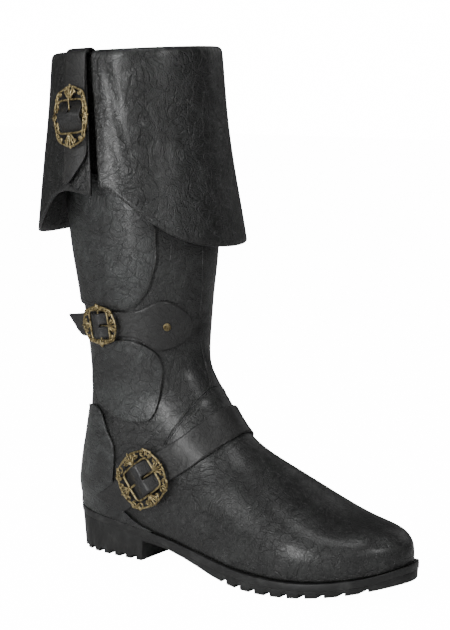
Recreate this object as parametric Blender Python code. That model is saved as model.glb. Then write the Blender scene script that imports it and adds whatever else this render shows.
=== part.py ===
"""Tall cuffed boot for the right foot, with three buckled straps.

The toe points along +X, the outer side of the foot is -Y and up is +Z. The origin is the
middle of the heel's flat on the floor. All sizes are in metres. The tables hold shares of
the named sizes, one row for each section of the boot.
"""
import math

import bmesh
import bpy
import numpy as np

for old in list(bpy.data.objects):
    bpy.data.objects.remove(old, do_unlink=True)

# Sole.
SOLE_LENGTH = 0.305
BALL_WIDTH = 0.106
HEEL_LENGTH = 0.081
HEEL_SEAT_HEIGHT = 0.035
MIDSOLE_THICKNESS = 0.0055
TOE_SPRING = 0.0153
WAIST_RISE = 0.017
WELT_WIDTH = 0.0032
HEEL_TAPER = 0.0018
GROOVE_DEPTH = 0.003
GROOVE_WIDTH = 0.0045
FORE_GROOVES = 9
HEEL_GROOVES = 6
SPINE_HALF_WIDTH = 0.019
INSOLE_THICKNESS = 0.003

# Upper.
INSTEP_HEIGHT = 0.150
SHAFT_HEIGHT = 0.3947
UPPER_WALL = 0.0021
FIT_GAP = 0.0003
PANEL_GAP = 0.0006
PANEL_THICKNESS = 0.0013

# Cuff.
CUFF_DEPTH = 0.153
CUFF_WALL = 0.0022
CUFF_GAP = 0.0009
CUFF_STANDOFF = 0.0042
CUFF_FLARE = 0.0250
CUFF_INNER_LEG = 0.026
SLIT_WIDTH = 0.006

# Straps and buckles. A buckle's length runs along its strap.
STRAP_THICKNESS = 0.0016
CUFF_STRAP_WIDTH = 0.0215
CALF_STRAP_WIDTH = 0.0185
ANKLE_STRAP_WIDTH = 0.0240
CUFF_BUCKLE_LENGTH = 0.0475
CUFF_BUCKLE_WIDTH = 0.0370
CALF_BUCKLE_LENGTH = 0.0390
CALF_BUCKLE_WIDTH = 0.0325
ANKLE_BUCKLE_LENGTH = 0.0490
ANKLE_BUCKLE_WIDTH = 0.0455
FRAME_THICKNESS = 0.0024
FRAME_STANDOFF = 0.0027
BAR_WIDTH = 0.0022
PRONG_DIAMETER = 0.0014
RIVET_DIAMETER = 0.0065
RIVET_HEIGHT = 0.0014

HEEL_BACK = -HEEL_LENGTH / 2

# along: share of the sole length from the heel's back. outer, inner: half widths as a share
# of the ball width, on top of a plan that is round at both ends.
OUTLINE = (
    # along, outer, inner
    (0.00, 0.450, 0.450),
    (0.02, 0.478, 0.478),
    (0.06, 0.524, 0.520),
    (0.12, 0.486, 0.478),
    (0.20, 0.411, 0.394),
    (0.30, 0.366, 0.320),
    (0.42, 0.378, 0.305),
    (0.52, 0.440, 0.366),
    (0.62, 0.507, 0.455),
    (0.70, 0.554, 0.520),
    (0.78, 0.584, 0.576),
    (0.86, 0.593, 0.618),
    (0.92, 0.582, 0.640),
    (0.96, 0.536, 0.645),
    (1.00, 0.470, 0.640),
)

# seat: height of the line where the upper meets the sole, as a share of the heel's seat.
# floor: height of the sole's underside, as a share of the waist's rise and of the toe spring.
SOLE_SIDE = (
    # along, seat, waist, spring
    (0.00, 1.000, 1.00, 0.00),
    (0.12, 0.900, 1.00, 0.00),
    (0.27, 0.745, 0.97, 0.00),
    (0.36, 0.640, 0.82, 0.00),
    (0.45, 0.530, 0.48, 0.00),
    (0.55, 0.430, 0.11, 0.00),
    (0.61, 0.384, 0.00, 0.00),
    (0.66, 0.368, 0.00, 0.00),
    (0.72, 0.365, 0.00, 0.05),
    (0.80, 0.405, 0.00, 0.20),
    (0.88, 0.500, 0.00, 0.45),
    (0.94, 0.615, 0.00, 0.71),
    (1.00, 0.800, 0.00, 1.00),
)

# Foot sections, from the toe round to the back of the heel. seat and ridge are shares of the
# sole length, rise of the instep height, crest, outer and inner of the ball width. Zero
# widths follow the sole. widest is the share of the section's height where it is widest.
FOOT_SECTIONS = (
    # seat, ridge, rise, crest, outer, inner, widest, full
    (0.9895, 0.9895, 0.180, 0.000, 0.000, 0.000, 0.40, 2.3),
    (0.9860, 0.9850, 0.268, 0.020, 0.000, 0.000, 0.40, 2.3),
    (0.9720, 0.9700, 0.303, 0.030, 0.000, 0.000, 0.38, 2.3),
    (0.9480, 0.9430, 0.333, 0.036, 0.000, 0.000, 0.36, 2.3),
    (0.9100, 0.9030, 0.350, 0.040, 0.000, 0.000, 0.34, 2.2),
    (0.8680, 0.8600, 0.361, 0.042, 0.000, 0.000, 0.32, 2.2),
    (0.8200, 0.8150, 0.385, 0.042, 0.000, 0.000, 0.31, 2.1),
    (0.7650, 0.7660, 0.427, 0.042, 0.000, 0.000, 0.30, 2.0),
    (0.7100, 0.7160, 0.476, 0.042, 0.000, 0.000, 0.29, 1.95),
    (0.6500, 0.6670, 0.528, 0.040, 0.000, 0.000, 0.28, 1.9),
    (0.5880, 0.6180, 0.578, 0.036, 0.000, 0.000, 0.28, 1.85),
    (0.5250, 0.5670, 0.618, 0.030, 0.385, 0.360, 0.28, 1.85),
    (0.4600, 0.5260, 0.660, 0.024, 0.372, 0.350, 0.30, 1.85),
    (0.3950, 0.4970, 0.714, 0.018, 0.366, 0.350, 0.34, 1.85),
    (0.3250, 0.4800, 0.778, 0.012, 0.362, 0.352, 0.38, 1.88),
    (0.2500, 0.4630, 0.840, 0.008, 0.362, 0.356, 0.42, 1.9),
    (0.1750, 0.4410, 0.900, 0.004, 0.364, 0.360, 0.45, 1.95),
    (0.1050, 0.4210, 0.953, 0.002, 0.367, 0.365, 0.48, 2.0),
    (0.0500, 0.4050, 1.000, 0.000, 0.370, 0.370, 0.50, 2.0),
    (0.0160, 0.3950, 1.040, 0.000, 0.374, 0.374, 0.51, 2.0),
    (0.0042, 0.3900, 1.068, 0.000, 0.377, 0.377, 0.51, 2.0),
)

# Leg sections, closed all round. back and front are shares of the sole length, back_rise and
# front_rise of the shaft's height, half_width of the ball width.
LEG_SECTIONS = (
    # back, back_rise, front, front_rise, half_width, widest
    (0.0020, 0.127, 0.3870, 0.4193, 0.379, 0.51),
    (0.0120, 0.173, 0.3853, 0.4345, 0.382, 0.51),
    (0.0390, 0.224, 0.3850, 0.4523, 0.386, 0.51),
    (0.0580, 0.2745, 0.3860, 0.4714, 0.391, 0.50),
    (0.0620, 0.325, 0.3872, 0.4905, 0.397, 0.50),
    (0.0540, 0.376, 0.3885, 0.5095, 0.404, 0.50),
    (0.0455, 0.432, 0.3910, 0.5337, 0.416, 0.50),
    (0.0350, 0.4905, 0.3965, 0.5629, 0.436, 0.50),
    (0.0215, 0.5527, 0.4020, 0.5985, 0.460, 0.50),
    (0.0045, 0.6226, 0.4050, 0.6430, 0.486, 0.50),
    (-0.0060, 0.7090, 0.4010, 0.7190, 0.503, 0.50),
    (-0.0200, 0.8020, 0.3980, 0.8100, 0.517, 0.50),
    (-0.0300, 0.8950, 0.3955, 0.9050, 0.528, 0.50),
    (-0.0390, 0.9830, 0.3940, 1.0000, 0.536, 0.50),
)


def hermite(knots, rows, at):
    """Smooth curve through table rows, at one value or an array of values."""
    knots = np.asarray(knots, float)
    rows = np.asarray(rows, float)
    at = np.clip(np.asarray(at, float), knots[0], knots[-1])
    slope = np.gradient(rows, knots, axis=0)
    low = np.clip(np.searchsorted(knots, at, side="right") - 1, 0, len(knots) - 2)
    step = knots[low + 1] - knots[low]
    u = (at - knots[low]) / step
    if rows.ndim > 1:
        u = u[..., None]
        step = step[..., None]
    start = (2 * u ** 3 - 3 * u ** 2 + 1) * rows[low] + (u ** 3 - 2 * u ** 2 + u) * step * slope[low]
    end = (3 * u ** 2 - 2 * u ** 3) * rows[low + 1] + (u ** 3 - u ** 2) * step * slope[low + 1]
    return start + end


def column(table, number):
    return [row[number] for row in table]


def half_widths(along):
    """Outer and inner half width of the sole's plan at a share of its length."""
    along = np.clip(along, 0.0, 1.0)
    shares = hermite(column(OUTLINE, 0), [row[1:] for row in OUTLINE], along)
    round_ends = 2 * BALL_WIDTH * np.sqrt(along * (1 - along))
    return shares * np.asarray(round_ends)[..., None]


def seat_height(along):
    return HEEL_SEAT_HEIGHT * hermite(column(SOLE_SIDE, 0), column(SOLE_SIDE, 1), along)


def floor_height(along):
    """Height of the sole's underside ahead of the heel."""
    waist = hermite(column(SOLE_SIDE, 0), column(SOLE_SIDE, 2), along)
    spring = hermite(column(SOLE_SIDE, 0), column(SOLE_SIDE, 3), along)
    return WAIST_RISE * max(float(waist), 0.0) + TOE_SPRING * max(float(spring), 0.0)


def x_of(along):
    return HEEL_BACK + along * SOLE_LENGTH


def upper_seat(along, inset):
    """Half widths of the upper's own plan, inset from the sole's edge."""
    first = FOOT_SECTIONS[-1][0] + inset / SOLE_LENGTH
    last = FOOT_SECTIONS[0][0] - inset / SOLE_LENGTH
    own = (along - first) / (last - first)
    return half_widths(own) * (1 - 2 * (WELT_WIDTH * 0.9 + inset) / BALL_WIDTH)


SIDE_STEPS = 64
# The sections round the bend of the foot are evened out with their neighbours, less so within
# a share of the way up from the seat.
BEND_SMOOTHING = 3
BEND_FIRST = 11
BEND_LAST = 29
SEAT_HOLD = 0.15


def half_section(edge, half, crest, widest, full):
    """Shares of height and distances out from the seat's edge over the side to the ridge."""
    half = max(half, edge * 1.03, 1e-6)
    start = math.asin(min(edge / half, 1.0))
    turn = np.linspace(start, math.pi / 2, 90)
    base = max(math.cos(start), 1e-6)
    low_height = widest * (math.cos(start) - np.cos(turn)) / base
    low_out = half * np.sin(turn)
    turn = np.linspace(math.pi / 2, math.pi, 90)[1:]
    high_height = widest + (1 - widest) * np.abs(np.cos(turn)) ** (2 / full)
    high_out = crest + (half - crest) * np.sin(turn) ** (2 / full)
    height = np.concatenate([low_height, high_height])
    out = np.concatenate([low_out, high_out])
    return height, out


def even_steps(line, count):
    """Points evenly spaced along a line of points."""
    length = np.concatenate([[0], np.cumsum(np.linalg.norm(np.diff(line, axis=0), axis=1))])
    at = np.linspace(0, length[-1], count)
    return np.stack([np.interp(at, length, line[:, axis]) for axis in range(3)], axis=1)


def full_section(back, front, edges, halves, crest, widest, full):
    """One section of the upper as points from the outer seat over the ridge to the inner seat."""
    back = np.asarray(back, float)
    front = np.asarray(front, float)
    sides = []
    for sign, edge, half in ((-1, edges[0], halves[0]), (1, edges[1], halves[1])):
        height, out = half_section(edge, half, sign * crest, widest, full)
        line = np.zeros((len(height), 3))
        line[:, 0] = back[0] + height * (front[0] - back[0])
        line[:, 2] = back[1] + height * (front[1] - back[1])
        line[:, 1] = sign * out
        sides.append(even_steps(line, SIDE_STEPS + 1))
    return np.concatenate([sides[0], sides[1][::-1][1:]])


def build_sections():
    sections = []
    for seat, ridge, rise, crest, outer, inner, widest, full in FOOT_SECTIONS:
        edges = upper_seat(seat, 0.0)
        edges = np.where(np.array([seat, seat]) > 0.005, edges, 0.0)
        bottom = float(seat_height(seat)) + FIT_GAP
        halves = (max(edges[0], outer * BALL_WIDTH), max(edges[1], inner * BALL_WIDTH))
        back = (x_of(seat), bottom)
        front = (x_of(ridge), max(rise * INSTEP_HEIGHT, bottom + 0.0002))
        sections.append(full_section(back, front, edges, halves, crest * BALL_WIDTH, widest, full))
    for back, back_rise, front, front_rise, half_width, widest in LEG_SECTIONS:
        half = half_width * BALL_WIDTH
        low = (x_of(back), back_rise * SHAFT_HEIGHT)
        high = (x_of(front), front_rise * SHAFT_HEIGHT)
        sections.append(full_section(low, high, (0.0, 0.0), (half, half), 0.0, widest, 2.05))
    sections = np.array(sections)
    sections[0][:] = sections[0].mean(axis=0)
    steps = np.linspace(-1, 1, 2 * SIDE_STEPS + 1)
    for _ in range(BEND_SMOOTHING):
        before = sections.copy()
        for row in range(BEND_FIRST, BEND_LAST):
            free = np.clip((1 - np.abs(steps)) / SEAT_HOLD, 0, 1) if row <= FOOT_COUNT else steps * 0 + 1
            middle = (before[row - 1] + before[row + 1]) / 2
            sections[row] += (middle - before[row]) * np.reshape(free / 2, (-1, 1))
    return sections


FOOT_COUNT = len(FOOT_SECTIONS)
SECTIONS = build_sections()
SECTION_COUNT = len(SECTIONS)
LAST = SECTION_COUNT - 1.0
LAST_FOOT_ROW = FOOT_COUNT - 1


def skin(along, around):
    """Point on the upper's outside. along counts sections from the toe, around runs from -1 at
    the outer seat or the back over 0 at the ridge to 1, and carries on past 1 on the leg."""
    if abs(around) > 1.0 or along >= LAST_FOOT_ROW:
        around = (around + 1.0) % 2.0 - 1.0
    place = (around + 1.0) * SIDE_STEPS
    left = int(min(max(math.floor(place), 0), 2 * SIDE_STEPS - 1))
    share = place - left
    along = min(max(along, 0.0), LAST)
    low = int(min(math.floor(along), SECTION_COUNT - 2))
    u = along - low
    lines = [row[left] * (1 - share) + row[left + 1] * share
             for row in SECTIONS[max(low - 1, 0):low + 3]]
    if low == 0:
        lines.insert(0, 2 * lines[0] - lines[1])
    if low == SECTION_COUNT - 2:
        lines.append(2 * lines[-1] - lines[-2])
    a, b, c, d = lines
    return 0.5 * (2 * b + (c - a) * u + (2 * a - 5 * b + 4 * c - d) * u ** 2
                  + (3 * b - a - 3 * c + d) * u ** 3)


def skin_normal(along, around):
    """Direction straight out from the upper's outside."""
    near = min(max(along, 0.25), LAST - 0.02)
    closed = near > LAST_FOOT_ROW - 0.1
    reach = 0.03
    first = around - reach if closed or around - reach > -1 else -1.0
    second = around + reach if closed or around + reach < 1 else 1.0
    across = skin(near, second) - skin(near, first)
    upward = skin(near + 0.05, around) - skin(near - 0.05, around)
    normal = np.cross(across, upward)
    size = np.linalg.norm(normal)
    return normal / size if size > 1e-12 else np.array([1.0, 0.0, 0.0])


def off_skin(along, around, height):
    return skin(along, around) + skin_normal(along, around) * height


# Materials.
def material(name, colour, roughness, metallic=0.0):
    made = bpy.data.materials.new(name)
    made.use_nodes = True
    shader = made.node_tree.nodes["Principled BSDF"]
    shader.inputs["Base Color"].default_value = (*colour, 1.0)
    shader.inputs["Roughness"].default_value = roughness
    shader.inputs["Metallic"].default_value = metallic
    made.diffuse_color = (*colour, 1.0)
    return made


LEATHER = material("black_leather", (0.020, 0.020, 0.019), 0.50)
CUFF_LEATHER = material("cuff_leather", (0.024, 0.024, 0.022), 0.48)
PANEL_LEATHER = material("panel_leather", (0.030, 0.030, 0.028), 0.50)
STRAP_LEATHER = material("strap_leather", (0.018, 0.018, 0.018), 0.45)
RUBBER = material("sole_rubber", (0.012, 0.012, 0.012), 0.70)
WELT_RUBBER = material("welt_rubber", (0.015, 0.015, 0.014), 0.60)
BOARD = material("insole_board", (0.060, 0.050, 0.040), 0.85)
BRASS = material("antique_brass", (0.230, 0.170, 0.080), 0.40, 1.0)


def finish_object(name, mesh, look):
    bmesh.ops.remove_doubles(mesh, verts=mesh.verts, dist=0.000002)
    bmesh.ops.recalc_face_normals(mesh, faces=mesh.faces)
    data = bpy.data.meshes.new(name)
    mesh.to_mesh(data)
    mesh.free()
    data.materials.append(look)
    made = bpy.data.objects.new(name, data)
    bpy.context.scene.collection.objects.link(made)
    return made


def shell(name, sheets, low, high, look, skip=()):
    """Closed solid between two copies of a sheet. Each sheet is a grid of places on a surface;
    low and high turn a place into a point. skip leaves out single quads as holes."""
    places = []
    numbers = {}
    quads = []
    for sheet_number, sheet in enumerate(sheets):
        index = []
        for row in sheet:
            line = []
            for place in row:
                key = tuple(np.round(high(place) * 2e5).astype(int))
                if key not in numbers:
                    numbers[key] = len(places)
                    places.append(place)
                line.append(numbers[key])
            index.append(line)
        for i in range(len(sheet) - 1):
            for j in range(len(sheet[0]) - 1):
                if (sheet_number, i, j) in skip:
                    continue
                ring = (index[i][j], index[i + 1][j], index[i + 1][j + 1], index[i][j + 1])
                ring = [v for k, v in enumerate(ring) if v != ring[k - 1]]
                if len(set(ring)) > 2:
                    quads.append(ring)
    mesh = bmesh.new()
    under = [mesh.verts.new(low(place)) for place in places]
    over = [mesh.verts.new(high(place)) for place in places]
    edges = {}
    for ring in quads:
        mesh.faces.new([over[v] for v in ring])
        mesh.faces.new([under[v] for v in reversed(ring)])
        for k, v in enumerate(ring):
            edge = (ring[k - 1], v)
            if (v, ring[k - 1]) in edges:
                del edges[(v, ring[k - 1])]
            else:
                edges[edge] = True
    for first, second in edges:
        mesh.faces.new((over[second], over[first], under[first], under[second]))
    return finish_object(name, mesh, look)


# Upper: every section of the tables, inset by the wall for the inside.
AROUND_STEPS = 12
TOE_TIP = SECTIONS[0][0]


def upper_point(place, height):
    along, around = place
    if along < 0.001:
        return TOE_TIP + np.array([height, 0.0, 0.0])
    point = off_skin(along, around, height)
    if along <= LAST_FOOT_ROW and abs(around) == 1.0:
        share = (point[0] - HEEL_BACK) / SOLE_LENGTH
        point[2] = float(seat_height(share)) + FIT_GAP
    return point


BETWEEN_ROWS = [0.5] + [row + 0.5 for row in range(16, 24)]
UPPER_ROWS = sorted([float(row) for row in range(SECTION_COUNT)] + BETWEEN_ROWS)
UPPER_COLUMNS = [float(column_at) for column_at in np.linspace(-1, 1, 2 * AROUND_STEPS + 1)]
upper_sheet = [[(row, around) for around in UPPER_COLUMNS] for row in UPPER_ROWS]
shell(
    "upper",
    [upper_sheet],
    lambda place: upper_point(place, -UPPER_WALL),
    lambda place: upper_point(place, 0.0),
    LEATHER,
)


# Sole pieces, each drawn as rings across the foot from the heel's back to the toe. Their first
# and last rings stop a little short of the plan's ends, where it has no width.
END_CUT = 0.00012


def lofted(name, rings, look):
    mesh = bmesh.new()
    lines = [[mesh.verts.new(point) for point in ring] for ring in rings]
    count = len(rings[0])
    for first, second in zip(lines, lines[1:]):
        for k in range(count):
            m = (k + 1) % count
            mesh.faces.new((first[k], first[m], second[m], second[k]))
    mesh.faces.new(lines[0])
    mesh.faces.new(list(reversed(lines[-1])))
    return finish_object(name, mesh, look)


def end_shares(count):
    """Shares from 0 to 1, close together at both ends."""
    turn = np.linspace(0.0, math.pi, count)
    return (1 - np.cos(turn)) / 2


def slab_ring(along, inset, low, high):
    first = inset / SOLE_LENGTH
    own = (along - first) / (1 - 2 * first)
    outer, inner = half_widths(own) * (1 - 2 * inset / BALL_WIDTH)
    x = x_of(along)
    return [(x, -outer, low), (x, inner, low), (x, inner, high), (x, -outer, high)]


def slab(name, inset, low, high, look, count):
    edge = (inset + END_CUT) / SOLE_LENGTH
    shares = edge + end_shares(count) * (1 - 2 * edge)
    rings = [slab_ring(a, inset, low(a), high(a)) for a in shares]
    return lofted(name, rings, look)


slab(
    "midsole",
    0.0,
    lambda a: float(seat_height(a)) - MIDSOLE_THICKNESS,
    lambda a: float(seat_height(a)),
    WELT_RUBBER,
    34,
)

INSOLE_INSET = UPPER_WALL + 6 * FIT_GAP


def insole_ring(along):
    outer, inner = upper_seat(along, INSOLE_INSET)
    x = x_of(along)
    low = float(seat_height(along)) + FIT_GAP
    high = low + INSOLE_THICKNESS
    return [(x, -outer, low), (x, inner, low), (x, inner, high), (x, -outer, high)]


insole_back = FOOT_SECTIONS[-1][0] + (INSOLE_INSET + END_CUT) / SOLE_LENGTH
insole_front = FOOT_SECTIONS[0][0] - (INSOLE_INSET + END_CUT) / SOLE_LENGTH
insole_shares = insole_back + end_shares(26) * (insole_front - insole_back)
lofted("insole", [insole_ring(a) for a in insole_shares], BOARD)

OUTSOLE_INSET = 0.0007
HEEL_SHARE = HEEL_LENGTH / SOLE_LENGTH
BREAST_SLOPE = 0.0020
GROOVE_SLOPE = 0.0005


def outsole_ring(along, on_heel, groove):
    first = OUTSOLE_INSET / SOLE_LENGTH
    own = (along - first) / (1 - 2 * first)
    outer, inner = half_widths(own) * (1 - 2 * OUTSOLE_INSET / BALL_WIDTH)
    high = float(seat_height(along)) - MIDSOLE_THICKNESS - FIT_GAP / 2
    low = 0.0 if on_heel else floor_height(along)
    taper = HEEL_TAPER if on_heel else OUTSOLE_INSET
    foot = np.maximum(np.array([outer, inner]) - taper, 0.4 * np.array([outer, inner]))
    x = x_of(along)
    back = taper * max(0.0, 1 - along / 0.10) if on_heel else 0.0
    spine = min(SPINE_HALF_WIDTH, 0.6 * foot.min())
    rise = low + groove * GROOVE_DEPTH
    under = [
        (x + back, -foot[0], rise), (x + back, -spine, rise), (x + back, -spine, low),
        (x + back, spine, low), (x + back, spine, rise), (x + back, foot[1], rise),
    ]
    return under + [(x, inner, high), (x, -outer, high)]


def grooved(first, last, count, on_heel):
    """Rings from first to last with evenly spaced grooves between them."""
    rings = []
    pitch = (last - first) / count
    slope = GROOVE_SLOPE / SOLE_LENGTH
    half = GROOVE_WIDTH / 2 / SOLE_LENGTH
    for number in range(count):
        middle = first + (number + 0.5) * pitch
        rings.append(outsole_ring(middle - half - slope, on_heel, 0.0))
        rings.append(outsole_ring(middle - half, on_heel, 1.0))
        rings.append(outsole_ring(middle + half, on_heel, 1.0))
        rings.append(outsole_ring(middle + half + slope, on_heel, 0.0))
    return rings


outsole_rings = []
for share in (0.0028, 0.0060, 0.0130, 0.0240, 0.0380):
    outsole_rings.append(outsole_ring(share, True, 0.0))
outsole_rings += grooved(0.044, HEEL_SHARE - 0.008, HEEL_GROOVES, True)
outsole_rings.append(outsole_ring(HEEL_SHARE, True, 0.0))
outsole_rings.append(outsole_ring(HEEL_SHARE + BREAST_SLOPE / SOLE_LENGTH, False, 0.0))
for share in (0.31, 0.36, 0.41, 0.46, 0.51):
    outsole_rings.append(outsole_ring(share, False, 0.0))
outsole_rings += grooved(0.535, 0.945, FORE_GROOVES, False)
for share in (0.955, 0.970, 0.985, 0.994, 0.9972):
    outsole_rings.append(outsole_ring(share, False, 0.0))
lofted("outsole", outsole_rings, RUBBER)


# Raised panels: rows of places on the skin, evenly spaced between two edges.
def panel(name, rows, look):
    return shell(
        name,
        [rows],
        lambda place: off_skin(place[0], place[1], PANEL_GAP),
        lambda place: off_skin(place[0], place[1], PANEL_GAP + PANEL_THICKNESS),
        look,
    )


# One row for each height of the lower panel, between its rear and its front edge.
LOWER_PANEL_EDGES = (
    # along, rear, front
    (18.05, -0.362, -0.335),
    (18.40, -0.385, -0.296),
    (19.00, -0.400, -0.252),
    (20.00, -0.437, -0.226),
    (21.00, -0.478, -0.210),
    (22.00, -0.535, -0.210),
    (23.00, -0.612, -0.236),
    (23.70, -0.680, -0.266),
    (24.40, -0.738, -0.310),
    (25.10, -0.752, -0.362),
    (25.60, -0.722, -0.420),
    (25.95, -0.665, -0.490),
    (26.10, -0.610, -0.560),
)
panel(
    "calf_panel_lower",
    [
        [(along, rear + (front - rear) * k / 7) for k in range(8)]
        for along, rear, front in LOWER_PANEL_EDGES
    ],
    PANEL_LEATHER,
)

# The upper panel runs from under the cuff down to its lobe: its foot at places around the leg.
UPPER_PANEL_HEAD = 31.60
UPPER_PANEL_FOOT = (
    # around, foot
    (-1.150, 28.20),
    (-1.060, 28.25),
    (-0.930, 28.25),
    (-0.800, 28.10),
    (-0.680, 27.86),
    (-0.570, 27.60),
    (-0.475, 27.36),
    (-0.400, 27.22),
    (-0.355, 27.38),
    (-0.320, 27.72),
    (-0.295, 28.25),
    (-0.275, 29.10),
    (-0.262, 29.60),
)
upper_panel_rows = []
for around in (-1.15, -1.11, -1.07, -1.03, -0.99, -0.945, -0.90, -0.855, -0.81, -0.765, -0.72,
               -0.675, -0.63, -0.585, -0.54, -0.495, -0.45, -0.40, -0.355, -0.315, -0.285, -0.262):
    foot = float(hermite(column(UPPER_PANEL_FOOT, 0), column(UPPER_PANEL_FOOT, 1), around))
    upper_panel_rows.append(
        [(foot + (UPPER_PANEL_HEAD - foot) * k / 4, around) for k in range(5)]
    )
panel("calf_panel_upper", upper_panel_rows, PANEL_LEATHER)

# Heel counter: one row for each height, from its front edge to the back of the heel.
COUNTER_EDGE = (
    # along, edge
    (14.30, 0.985),
    (15.00, 0.969),
    (15.50, 0.948),
    (16.00, 0.910),
    (16.50, 0.850),
    (17.00, 0.785),
    (17.50, 0.705),
    (18.00, 0.635),
    (18.50, 0.590),
    (19.00, 0.560),
    (19.50, 0.548),
    (20.00, 0.545),
    (21.00, 0.556),
    (22.00, 0.585),
    (23.00, 0.640),
    (23.60, 0.710),
    (24.00, 0.800),
    (24.20, 0.910),
)

COUNTER_COLUMNS = 7


def counter_point(place, height):
    point = off_skin(place[0], place[1], height)
    if place[0] <= LAST_FOOT_ROW and abs(place[1]) == 1.0:
        share = (point[0] - HEEL_BACK) / SOLE_LENGTH
        point[2] = float(seat_height(share)) + FIT_GAP
    return point


COUNTER_ROWS = sorted([14.3, 14.6, 23.25, 23.75, 24.1, 24.2] + [r for r in UPPER_ROWS if 15 <= r <= 24])
outer_sheet = []
inner_sheet = []
for row in COUNTER_ROWS:
    edge = float(hermite(column(COUNTER_EDGE, 0), column(COUNTER_EDGE, 1), row))
    reach = [float(around) for around in np.linspace(edge, 1.0, COUNTER_COLUMNS)]
    outer_sheet.append([(row, -around) for around in reach])
    inner_sheet.append([(row, around) for around in reversed(reach)])
shell(
    "heel_counter",
    [outer_sheet, inner_sheet],
    lambda place: counter_point(place, PANEL_GAP),
    lambda place: counter_point(place, PANEL_GAP + PANEL_THICKNESS),
    PANEL_LEATHER,
)


# Cuff: its skirt stands off the leg. down is a share of the cuff's depth, flare and lean are
# shares of its flare; the lean moves the skirt towards the back.
CUFF_SKIRT = (
    # down, flare, lean
    (0.00, 0.000, 0.000),
    (0.13, 0.080, 0.030),
    (0.30, 0.190, 0.080),
    (0.45, 0.330, 0.130),
    (0.62, 0.510, 0.170),
    (0.78, 0.690, 0.190),
    (0.90, 0.810, 0.200),
    (1.00, 0.900, 0.200),
)

# Depth of the hem, as a share of the cuff's depth, from the slit round the front and back.
CUFF_HEM = (
    # around, depth
    (0.00, 0.640),
    (0.02, 0.652),
    (0.045, 0.710),
    (0.075, 0.790),
    (0.11, 0.875),
    (0.15, 0.930),
    (0.20, 0.952),
    (0.26, 0.955),
    (0.32, 0.945),
    (0.38, 0.890),
    (0.44, 0.800),
    (0.50, 0.750),
    (0.56, 0.790),
    (0.62, 0.850),
    (0.68, 0.880),
    (0.76, 0.890),
    (0.82, 0.865),
    (0.86, 0.800),
    (0.89, 0.725),
    (0.915, 0.665),
    (0.945, 0.640),
    (0.97, 0.660),
    (1.00, 0.675),
)
SLIT_AROUND = -0.495
# The cuff's lines turn a little towards the front on their way down.
CUFF_TWIST = 0.054

RIM_STEPS = np.linspace(FOOT_COUNT + 4, LAST, 24)


def leg_loop(around, height):
    """Point on the leg at a height, carried straight up past its top."""
    points = [skin(step, around) for step in RIM_STEPS]
    rises = [point[2] for point in points]
    spot = np.array([np.interp(height, rises, [point[axis] for point in points]) for axis in (0, 1)])
    return np.array([spot[0], spot[1], height])


def leg_outward(around, height):
    ahead = leg_loop(around + 0.01, height) - leg_loop(around - 0.01, height)
    ahead = ahead / np.linalg.norm(ahead)
    return np.array([ahead[1], -ahead[0], 0.0])


def cuff_path(around, along):
    """Middle of the cuff's leather: along runs from -1 at the foot of the inner leg to 0 at the
    fold, to 1 past the fold and on down the skirt by shares of the cuff's depth."""
    inner = -(UPPER_WALL + CUFF_GAP + CUFF_WALL / 2)
    outer = CUFF_STANDOFF - CUFF_WALL / 2
    top = skin(LAST, around)[2]
    if along <= 0:
        stand, rise = inner, top + along * CUFF_INNER_LEG
    elif along < 1:
        turn = math.pi * (1 - along)
        stand = (inner + outer) / 2 + (outer - inner) / 2 * math.cos(turn)
        rise = top + (outer - inner) / 2 * math.sin(turn)
    else:
        down = along - 1
        around = around + CUFF_TWIST * down
        flare = float(hermite(column(CUFF_SKIRT, 0), column(CUFF_SKIRT, 1), down))
        lean = float(hermite(column(CUFF_SKIRT, 0), column(CUFF_SKIRT, 2), down))
        stand = outer + CUFF_FLARE * (flare - lean * math.cos(math.pi * around))
        rise = top - down * CUFF_DEPTH
    return leg_loop(around, rise) + leg_outward(around, min(rise, top)) * stand


CUFF_CACHE = {}


def cuff_point(place, height):
    """Point at a height off the middle of the cuff's leather, on its outer face."""
    if place not in CUFF_CACHE:
        around, along = place
        reach = 0.02
        ahead = cuff_path(around, along + reach) - cuff_path(around, along - reach)
        across = cuff_path(around + reach, along) - cuff_path(around - reach, along)
        normal = np.cross(across, ahead)
        normal = -normal / np.linalg.norm(normal)
        CUFF_CACHE[place] = (cuff_path(around, along), normal)
    middle, normal = CUFF_CACHE[place]
    return middle + normal * height


CUFF_HALF_TURN = 0.200
SLIT_SHARE = SLIT_WIDTH / CUFF_HALF_TURN
CUFF_INSIDE = (-1.0, -0.55, -0.12, 0.0, 0.2, 0.4, 0.6, 0.8, 1.0)
CUFF_EDGE_SHARES = (0.0, 0.015, 0.04, 0.07)
CUFF_MIDDLE_SHARES = tuple(float(share) for share in np.linspace(0.10, 0.90, 21))
cuff_rows = []
for share in CUFF_EDGE_SHARES + CUFF_MIDDLE_SHARES + tuple(1 - s for s in reversed(CUFF_EDGE_SHARES)):
    around = SLIT_AROUND + SLIT_SHARE / 2 + share * (2 - SLIT_SHARE)
    hem = float(hermite(column(CUFF_HEM, 0), column(CUFF_HEM, 1), share))
    inside = [(around, along) for along in CUFF_INSIDE]
    skirt = [(around, 1 + hem * k / 6) for k in range(1, 7)]
    cuff_rows.append(inside + skirt)
shell(
    "cuff",
    [cuff_rows],
    lambda place: cuff_point(place, -CUFF_WALL / 2),
    lambda place: cuff_point(place, CUFF_WALL / 2),
    CUFF_LEATHER,
)


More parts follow.
